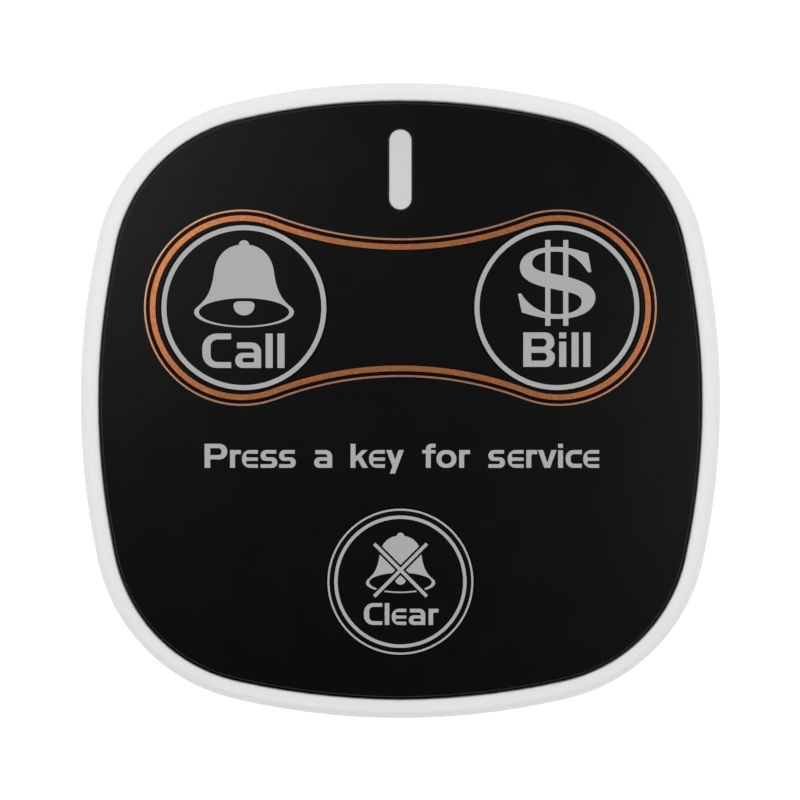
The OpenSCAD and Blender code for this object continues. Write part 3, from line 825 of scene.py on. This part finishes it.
def add_bar(bm, at, angle, w, l):
    """Adds a flat bar, w wide and l long, turned from upright by an angle."""
    shape = Matrix.Rotation(angle, 4, "Z") @ Matrix.Diagonal((w, l, 1, 1))
    place = Matrix.Translation(Vector(at).to_3d()) @ shape
    bmesh.ops.create_grid(bm, x_segments=1, y_segments=1, size=0.5, matrix=place)


def print_shape(name, bm, at, shift, scale, body, replaces=()):
    """Lays a flat mesh on the face as ink: at is in metres, and the shift from it and the size
    of the drawing's unit are in millimetres."""
    place = Matrix.Translation((at[0] + shift[0] * MM, at[1] + shift[1] * MM, ink_z))
    bmesh.ops.transform(bm, matrix=place @ Matrix.Scale(scale * MM, 4), verts=bm.verts)
    top = bmesh.ops.extrude_face_region(bm, geom=bm.faces[:], use_keep_orig=True)["geom"]
    raised = [g for g in top if isinstance(g, bmesh.types.BMVert)]
    bmesh.ops.translate(bm, verts=raised, vec=(0, 0, ink_t))
    bmesh.ops.remove_doubles(bm, verts=bm.verts, dist=EPS)
    add_piece(name, bm, silver_ink, body, replaces)


print_shape("call_bell_ink", call_bell(), call_at, (0.02, -0.64), 1, "call_key", ["call_symbol"])

# The way round an S with thick and thin strokes and a slab at each end, in millimetres
S_CURVE = [
    ((4.73, 1.57), (4.58, 1.48), None),
    ((4.29, 4.09), None, (2.89, 4.56)),
    ((-0.13, 4.97), (1.52, 4.97), (-3.1, 4.97)),
    ((-5.09, 2.2), (-5.09, 3.98), (-5.09, 0.45)),
    ((-0.41, -0.81), (-3.18, -0.29), (1.7, -1.29)),
    ((3.4, -2.55), (3.4, -1.42), (3.4, -3.67)),
    ((0.07, -4.27), (1.95, -4.27), (-2.12, -4.27)),
    ((-4.9, -1.47), (-3.93, -3.06), (-4.98, -1.39)),
    ((-5.35, -1.52), (-5.27, -1.4), None),
    ((-4.82, -4.01), None, (-3.02, -4.58)),
    ((0.0, -4.91), (-1.64, -4.91), (3.3, -4.91)),
    ((5.29, -1.93), (5.29, -3.72), (5.29, -0.22)),
    ((0.0, 1.18), (2.95, 0.6), (-1.64, 1.5)),
    ((-3.4, 2.75), (-3.4, 1.7), (-3.4, 3.87)),
    ((0.0, 4.33), (-2.1, 4.33), (2.03, 4.31)),
    ((4.24, 1.55), (3.31, 2.96), (4.34, 1.45)),
]


def currency_sign():
    """The S with two upright bars through it."""
    bm = flat_curves([S_CURVE], SYMBOL_STEPS)
    left_bar, right_bar = -1.25, 1.21
    bar_w, bar_l, lift = 0.71, 11.8, 0.03
    for x in (left_bar, right_bar):
        cut_strip(bm, (x, 0), (0, 1), bar_w / 2)
        add_bar(bm, (x, lift), 0, bar_w, bar_l)
    return bm


print_shape("bill_sign_ink", currency_sign(), bill_at, (0, 3.37), 1, "bill_key", ["bill_symbol"])


def crossed_bell():
    """A bell under two crossed bars, with a bare margin along each bar."""
    bm = bell(6.78, 1.93, oval(6.14, 1.85, 0.18), oval(1.07, 1.07, 0.77))
    cross_at, slant = (0, 2.56), math.pi / 4
    bar_w, bar_l, margin = 0.67, 14.6, 0.39
    for angle in (slant, -slant):
        cut_strip(bm, cross_at, (math.cos(angle), math.sin(angle)), bar_w / 2 + margin)
    bars = bmesh.new()
    add_bar(bars, cross_at, slant, bar_w, bar_l)
    cut_strip(bars, cross_at, (1, 1), bar_w / 2)
    add_bar(bars, cross_at, -slant, bar_w, bar_l)
    loose = bpy.data.meshes.new("bars")
    bars.to_mesh(loose)
    bars.free()
    bm.from_mesh(loose)
    bpy.data.meshes.remove(loose)
    return bm


print_shape(
    "clear_bell_ink", crossed_bell(), clear_at, (0.02, -0.2), 0.7, "clear_key", ["clear_symbol"],
)

# Letters of a wide plain hand, whose unit is the height of a capital: the height of small
# letters, the width of an upright and the width of a level stroke
SMALL = 0.74
UP = 0.205
LEVEL = 0.17


def rounded(points):
    """A closed loop of straight sides, whose corners (x, y, radius) are rounded."""
    loop = []
    for k, (x, y, r) in enumerate(points):
        here = Vector((x, y))
        if r == 0:
            loop.append((here, None, None))
            continue
        back = (Vector(points[k - 1][:2]) - here).normalized()
        ahead = (Vector(points[(k + 1) % len(points)][:2]) - here).normalized()
        turn = math.pi - back.angle(ahead)
        reach = r * math.tan(turn / 2)
        handle = reach - r * 4 / 3 * math.tan(turn / 4)
        loop.append((here + reach * back, None, here + handle * back))
        loop.append((here + reach * ahead, here + handle * ahead, None))
    return loop


def block(x0, y0, x1, y1):
    """A plain upright rectangle."""
    return [(x0, y0, 0), (x1, y0, 0), (x1, y1, 0), (x0, y1, 0)]


def open_c(w, h, outer, inner, up):
    """A round-cornered C, w wide and h high, with corner radii and the width of its back."""
    return w, [[(w, h, 0), (0, h, outer), (0, 0, outer), (w, 0, 0), (w, LEVEL, 0),
                (up, LEVEL, inner), (up, h - LEVEL, inner), (w, h - LEVEL, 0)]]


def letter_a():
    w, bowl, arm = 0.75, 0.44, 0.05
    body = [(arm, SMALL, 0), (w, SMALL, 0.27), (w, 0, 0), (0, 0, 0.21), (0, bowl, 0.21),
            (w - UP, bowl, 0), (w - UP, SMALL - LEVEL, 0.09), (arm, SMALL - LEVEL, 0)]
    low, high = LEVEL - 0.01, 0.295
    hole = [(UP, low, 0.06), (w - UP, low, 0), (w - UP, high, 0), (UP, high, 0.06)]
    return w, [body, hole]


def letter_e():
    w, low_bar, high_bar = 0.66, 0.29, 0.43
    up, thin, curl = 0.17, LEVEL - 0.02, 0.055
    return w, [[(w, SMALL, 0), (0, SMALL, 0.33), (0, 0, 0.33), (w, 0, 0), (w, thin, 0),
                (up, thin, curl), (up, low_bar, curl), (w, low_bar, 0), (w, high_bar, 0),
                (up, high_bar, curl), (up, SMALL - thin, curl), (w, SMALL - thin, 0)]]


def letter_s():
    w, low_bar, high_bar, bar = 0.69, 0.29, 0.44, 0.15
    return w, [[(w - 0.04, SMALL, 0), (0, SMALL, 0.22), (0, low_bar, 0.2), (w - UP, low_bar, 0.06),
                (w - UP, bar, 0.06), (0, bar, 0), (0, 0, 0), (w, 0, 0.21), (w, high_bar, 0.21),
                (UP, high_bar, 0.06), (UP, SMALL - bar, 0.06), (w - 0.04, SMALL - bar, 0)]]


def letter_b():
    w, waist = 0.925, 0.495
    body = [(0, 1, 0), (w - 0.02, 1, 0.26), (w - 0.02, 0.61, 0.16), (0.785, waist, 0),
            (w, 0.375, 0.16), (w, 0, 0.26), (0, 0, 0)]
    up = 0.235
    high = [(up, 0.825, 0), (up, 0.585, 0), (0.68, 0.585, 0.115), (0.68, 0.825, 0.115)]
    low = [(up, 0.41, 0), (up, 0.18, 0), (0.695, 0.18, 0.11), (0.695, 0.41, 0.11)]
    return w, [body, high, low]


def letter_p():
    w, bowl, up = 0.945, 0.35, 0.235
    body = [(0, 1, 0), (w, 1, 0.32), (w, bowl, 0.32), (up, bowl, 0), (up, 0, 0), (0, 0, 0)]
    return w, [body, [(up, 0.82, 0), (up, 0.53, 0), (0.71, 0.53, 0.14), (0.71, 0.82, 0.14)]]


def letter_o():
    w, outer, inner, thin = 0.83, 0.36, 0.2, 0.16
    right, top = w - UP, SMALL - thin
    return w, [[(0, 0, outer), (w, 0, outer), (w, SMALL, outer), (0, SMALL, outer)],
               [(UP, thin, inner), (right, thin, inner), (right, top, inner), (UP, top, inner)]]


def letter_f():
    w, stem, bar = 0.55, 0.15, 0.6
    far = stem + 0.2
    return w, [[(w, 1, 0), (stem, 1, 0.22), (stem, SMALL, 0), (0, SMALL, 0), (0, bar, 0),
                (stem, bar, 0), (stem, 0, 0), (far, 0, 0), (far, bar, 0), (w, bar, 0),
                (w, SMALL, 0), (far, SMALL, 0), (far, 0.84, 0.07), (w, 0.84, 0)]]


def letter_r():
    w = 0.45
    return w, [[(0, SMALL, 0), (0, 0, 0), (UP, 0, 0), (UP, SMALL - LEVEL, 0.08),
                (w, SMALL - LEVEL, 0), (w, SMALL, 0)]]


def letter_k():
    return 0.72, [[(0, 1, 0), (0, 0, 0), (UP, 0, 0), (UP, 0.25, 0), (0.3, 0.34, 0),
                   (0.49, 0, 0), (0.73, 0, 0), (0.45, 0.48, 0), (0.71, SMALL, 0),
                   (0.48, SMALL, 0), (UP, 0.47, 0), (UP, 1, 0)]]


def letter_v():
    return 0.78, [[(0, SMALL, 0), (0.27, 0, 0), (0.51, 0, 0), (0.78, SMALL, 0),
                   (0.56, SMALL, 0), (0.39, 0.2, 0), (0.22, SMALL, 0)]]


def letter_y():
    return 0.74, [[(0, SMALL, 0), (0.265, 0.06, 0), (0.15, -0.24, 0), (0.37, -0.24, 0),
                   (0.74, SMALL, 0), (0.52, SMALL, 0), (0.375, 0.33, 0), (0.23, SMALL, 0)]]


# Each letter gives its width and its loops
LETTERS = {
    "a": letter_a, "e": letter_e, "s": letter_s, "o": letter_o, "f": letter_f, "r": letter_r,
    "k": letter_k, "v": letter_v, "y": letter_y, "B": letter_b, "P": letter_p,
    "C": lambda: open_c(0.835, 1, 0.42, 0.2, 0.24),
    "c": lambda: open_c(0.67, SMALL, 0.32, 0.14, UP),
    "l": lambda: (UP, [block(0, 0, UP, 1)]),
    "i": lambda: (UP, [block(0, 0, UP, 0.73), block(0, 0.83, UP, 1)]),
}
# The gap after a letter, and the pairs of letters that stand closer or wider than that
GAP = 0.115
GAPS = {
    "Ca": 0.12, "al": 0.13, "ll": 0.138, "Bi": 0.125, "il": 0.158, "ar": 0.15, "ss": 0.08,
    "re": 0.05, "fo": 0.04, "rv": 0.03, "vi": 0.06, "ce": 0.06, "ke": 0.05, "ey": 0.05,
}


def words(name, text, left, right, base, cap, body):
    """Prints words between two places, on a base line, with capitals cap high, all in
    millimetres. The spaces take up the length that the letters leave, and a single word is
    stretched to it."""
    x, spaces, shapes = 0.0, 0, []
    for k, mark in enumerate(text):
        if mark == " ":
            spaces += 1
            continue
        w, shape = LETTERS[mark]()
        shapes.append(([rounded(points) for points in shape], x, spaces))
        ahead = text[k + 1:k + 2]
        x += w + (0 if ahead in ("", " ") else GAPS.get(mark + ahead, GAP))
    space = ((right - left) / cap - x) / max(spaces, 1)
    stretch = 1 if spaces else (right - left) / (cap * x)

    def moved(point, start):
        return None if point is None else ((start + point[0]) * stretch, point[1])

    placed = [
        [tuple(moved(point, at + before * space) for point in knot) for knot in loop]
        for shape, at, before in shapes
        for loop in shape
    ]
    print_shape(name, flat_curves(placed, LETTER_STEPS), (0, 0), (left, base), cap, body)


words("call_label", "Call", -27.21, -15.92, 4.46, 4.73, "call_key")
words("bill_label", "Bill", 16.88, 26.09, 4.61, 4.73, "bill_key")
words("clear_label", "Clear", -5.01, 5.23, -30.84, 3.0, "clear_key")
words("caption", "Press a key for service", -26.9, 27.3, -9.26, 3.3, "root")

# ---------------------------------------------------------------- light window


def window_lens():
    """The milky lens that fills the slot, a little below the face, with a rounded top edge."""
    play, sunk, edge = 0.04 * MM, 0.16 * MM, 0.12 * MM
    half = (slot_w - play) / 2
    top_z = face_z - sunk
    section = [(half, panel_z)] + [(half - inset, z) for inset, z in round_edge(0, top_z, edge)]
    bm = bmesh.new()
    sweep(bm, slot_points(window_at, slot_straight, section), slot_path(window_at, slot_straight))
    smooth_all(bm)
    fill_level(bm, top_z)
    fill_level(bm, panel_z)
    add_piece("window_lens", bm, milky_window, "root", ["light_window"])


window_lens()

# ---------------------------------------------------------------- floor, light and camera

# The room's light: the walls' strength, and as shares of it the ceiling, the walls far below,
# what the far wall has more and the whole of the near wall
WALLS = 1.38
CEILING = 0.04
LOW_WALLS = 0.71
FAR_WALL = 0.04
NEAR_WALL = 0.78
# The floor's shade in the light that it throws back, and its shade and glow when it is seen
FLOOR = 0.6
FLOOR_SEEN = 0.3
FLOOR_GLOW = 0.93


def stage_floor():
    """A white floor that keeps the button's shadow. It can't be seen from below, and light
    that goes down from the underside passes it, so that the underside is lit as well."""
    floor_size, underside = 3, 6 * MM
    bm = bmesh.new()
    bmesh.ops.create_grid(bm, x_segments=1, y_segments=1, size=floor_size)
    mesh = bpy.data.meshes.new("floor")
    bm.to_mesh(mesh)
    bm.free()
    floor = bpy.data.objects.new("floor", mesh)
    bpy.context.scene.collection.objects.link(floor)
    material = bpy.data.materials.new("floor_white")
    material.use_nodes = True
    tree = material.node_tree
    tree.nodes.clear()
    out = tree.nodes.new("ShaderNodeOutputMaterial")
    path = tree.nodes.new("ShaderNodeLightPath")
    geometry = tree.nodes.new("ShaderNodeNewGeometry")
    diffuse = tree.nodes.new("ShaderNodeBsdfDiffuse")
    diffuse.inputs["Color"].default_value = (FLOOR, FLOOR, FLOOR, 1)
    dim = tree.nodes.new("ShaderNodeBsdfDiffuse")
    dim.inputs["Color"].default_value = (FLOOR_SEEN, FLOOR_SEEN, FLOOR_SEEN, 1)
    glow = tree.nodes.new("ShaderNodeEmission")
    glow.inputs["Strength"].default_value = FLOOR_GLOW
    seen = tree.nodes.new("ShaderNodeAddShader")
    tree.links.new(dim.outputs[0], seen.inputs[0])
    tree.links.new(glow.outputs[0], seen.inputs[1])
    sight = math_node(tree, "MAXIMUM", path.outputs["Is Camera Ray"], path.outputs["Is Glossy Ray"])
    sight = math_node(tree, "MAXIMUM", sight, path.outputs["Is Transmission Ray"])
    shown = tree.nodes.new("ShaderNodeMixShader")
    tree.links.new(sight, shown.inputs[0])
    tree.links.new(diffuse.outputs[0], shown.inputs[1])
    tree.links.new(seen.outputs[0], shown.inputs[2])
    clear = tree.nodes.new("ShaderNodeBsdfTransparent")
    close = math_node(tree, "LESS_THAN", path.outputs["Ray Length"], underside)
    thrown = math_node(tree, "SUBTRACT", 1, path.outputs["Is Camera Ray"])
    passed = math_node(tree, "MULTIPLY", close, thrown)
    passed = math_node(tree, "MAXIMUM", geometry.outputs["Backfacing"], passed)
    both = tree.nodes.new("ShaderNodeMixShader")
    tree.links.new(passed, both.inputs[0])
    tree.links.new(shown.outputs[0], both.inputs[1])
    tree.links.new(clear.outputs[0], both.inputs[2])
    tree.links.new(both.outputs[0], out.inputs["Surface"])
    mesh.materials.append(material)


def studio_world():
    """A soft room: bright walls, a dim ceiling, and white where the camera looks past the
    object."""
    world = bpy.data.worlds.new("studio")
    bpy.context.scene.world = world
    world.use_nodes = True
    tree = world.node_tree
    tree.nodes.clear()
    out = tree.nodes.new("ShaderNodeOutputWorld")
    path = tree.nodes.new("ShaderNodeLightPath")
    coords = tree.nodes.new("ShaderNodeTexCoord")
    split = tree.nodes.new("ShaderNodeSeparateXYZ")
    tree.links.new(coords.outputs["Generated"], split.inputs[0])
    height = tree.nodes.new("ShaderNodeValToRGB")
    stops = height.color_ramp.elements
    stops[0].color = (LOW_WALLS, LOW_WALLS, LOW_WALLS, 1)
    stops[1].color = (CEILING, CEILING, CEILING, 1)
    wall_low, wall_high, ceiling_from = 0.3, 0.7, 0.85
    for place, level in ((wall_low, 1), (wall_high, 1), (ceiling_from, CEILING)):
        stops.new(place).color = (level, level, level, 1)
    tree.links.new(split.outputs["Z"], height.inputs["Fac"])
    near_wall, near_wall_end = -1, -0.2
    near = tree.nodes.new("ShaderNodeMapRange")
    near.inputs["From Min"].default_value = near_wall
    near.inputs["From Max"].default_value = near_wall_end
    near.inputs["To Min"].default_value = NEAR_WALL
    near.inputs["To Max"].default_value = 1
    tree.links.new(split.outputs["Y"], near.inputs["Value"])
    tilt = math_node(tree, "MULTIPLY_ADD", split.outputs["Y"], FAR_WALL)
    tilt.node.inputs[2].default_value = 1
    tilt = math_node(tree, "MULTIPLY", tilt, near.outputs[0])
    room = tree.nodes.new("ShaderNodeBackground")
    tree.links.new(height.outputs["Color"], room.inputs["Color"])
    tree.links.new(math_node(tree, "MULTIPLY", tilt, WALLS), room.inputs["Strength"])
    white = tree.nodes.new("ShaderNodeBackground")
    seen = tree.nodes.new("ShaderNodeMixShader")
    tree.links.new(path.outputs["Is Camera Ray"], seen.inputs[0])
    tree.links.new(room.outputs[0], seen.inputs[1])
    tree.links.new(white.outputs[0], seen.inputs[2])
    tree.links.new(seen.outputs[0], out.inputs["Surface"])


def softbox(name, place, size, power):
    """A soft lamp that points at the object."""
    lamp = bpy.data.lights.new(name, "AREA")
    lamp.shape = "RECTANGLE"
    lamp.size, lamp.size_y = size
    lamp.energy = power
    box = bpy.data.objects.new(name, lamp)
    bpy.context.scene.collection.objects.link(box)
    box.location = place
    box.rotation_euler = (-Vector(place)).to_track_quat("-Z", "Y").to_euler()


def studio_camera():
    """Looks straight down from far off with a long lens, as the photograph does."""
    picture_px, px_per_mm = 800, 7.28
    width_seen = picture_px / px_per_mm * MM
    aim_x, aim_y = -0.055 * MM, 0.055 * MM
    distance = 2.5
    data = bpy.data.cameras.new("camera")
    data.sensor_width = 36
    data.lens = data.sensor_width * (distance - face_z) / width_seen
    data.clip_end = 20
    camera = bpy.data.objects.new("camera", data)
    bpy.context.scene.collection.objects.link(camera)
    camera.location = (aim_x, aim_y, distance)
    bpy.context.scene.camera = camera


stage_floor()
studio_world()
softbox_size = (0.06, 0.06)
softbox("softbox_left", (-0.078, 0.054, 0.245), softbox_size, 0.084)
softbox("softbox_right", (0.092, 0.004, 0.24), softbox_size, 0.055)
studio_camera()

bpy.context.scene.view_settings.view_transform = "Standard"
